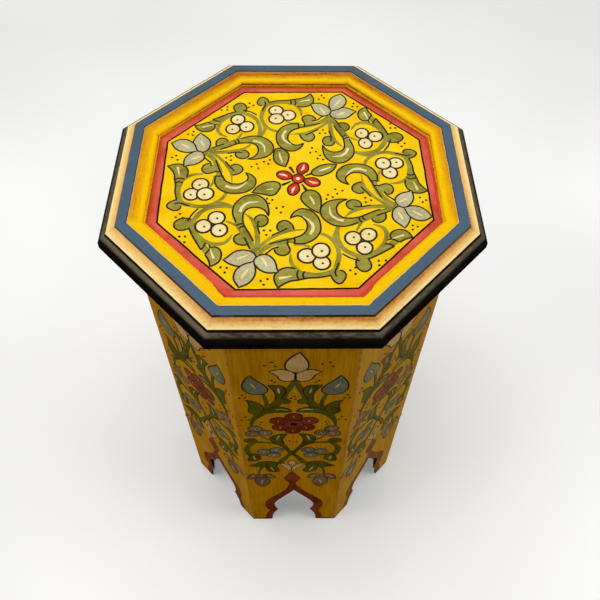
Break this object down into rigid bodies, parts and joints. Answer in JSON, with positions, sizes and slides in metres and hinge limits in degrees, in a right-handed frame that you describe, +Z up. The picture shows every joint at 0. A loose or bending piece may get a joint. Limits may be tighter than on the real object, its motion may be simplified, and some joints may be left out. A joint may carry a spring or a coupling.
{
  "type": "octagonal side table",
  "caption": "Octagonal painted side table with a raised moulded rim round its top and a straight panelled body pierced by a pointed arch at the foot of every side.",
  "frame": {"origin": "on the floor at the centre of the octagonal body", "axes": "+Z up along the body's axis, -Y towards the front panel, +X to the right of the front panel"},
  "size_m": [0.36, 0.36, 0.63],
  "materials": {
    "painted_board": "hand-painted, satin varnish",
    "painted_rim": "hand-painted bands, satin varnish",
    "painted_panel": "hand-painted, satin varnish",
    "bare_wood": "sawn, unpainted",
    "steel": "plain"
  },
  "bodies": {
    "root": {"top_board": "painted_board", "rim_front": "painted_rim", "rim_front_right": "painted_rim", "rim_right": "painted_rim", "rim_back_right": "painted_rim", "rim_back": "painted_rim", "rim_back_left": "painted_rim", "rim_left": "painted_rim", "rim_front_left": "painted_rim", "panel_front": "painted_panel", "panel_front_right": "painted_panel", "panel_right": "painted_panel", "panel_back_right": "painted_panel", "panel_back": "painted_panel", "panel_back_left": "painted_panel", "panel_left": "painted_panel", "panel_front_left": "painted_panel", "corner_block_1": "bare_wood", "corner_block_2": "bare_wood", "corner_block_3": "bare_wood", "corner_block_4": "bare_wood", "corner_block_5": "bare_wood", "corner_block_6": "bare_wood", "corner_block_7": "bare_wood", "corner_block_8": "bare_wood", "cleat_front": "bare_wood", "cleat_front_right": "bare_wood", "cleat_right": "bare_wood", "cleat_back_right": "bare_wood", "cleat_back": "bare_wood", "cleat_back_left": "bare_wood", "cleat_left": "bare_wood", "cleat_front_left": "bare_wood", "cleat_screws": "steel", "cleat_nails": "steel", "rim_brads": "steel"}
  },
  "joints": []
}
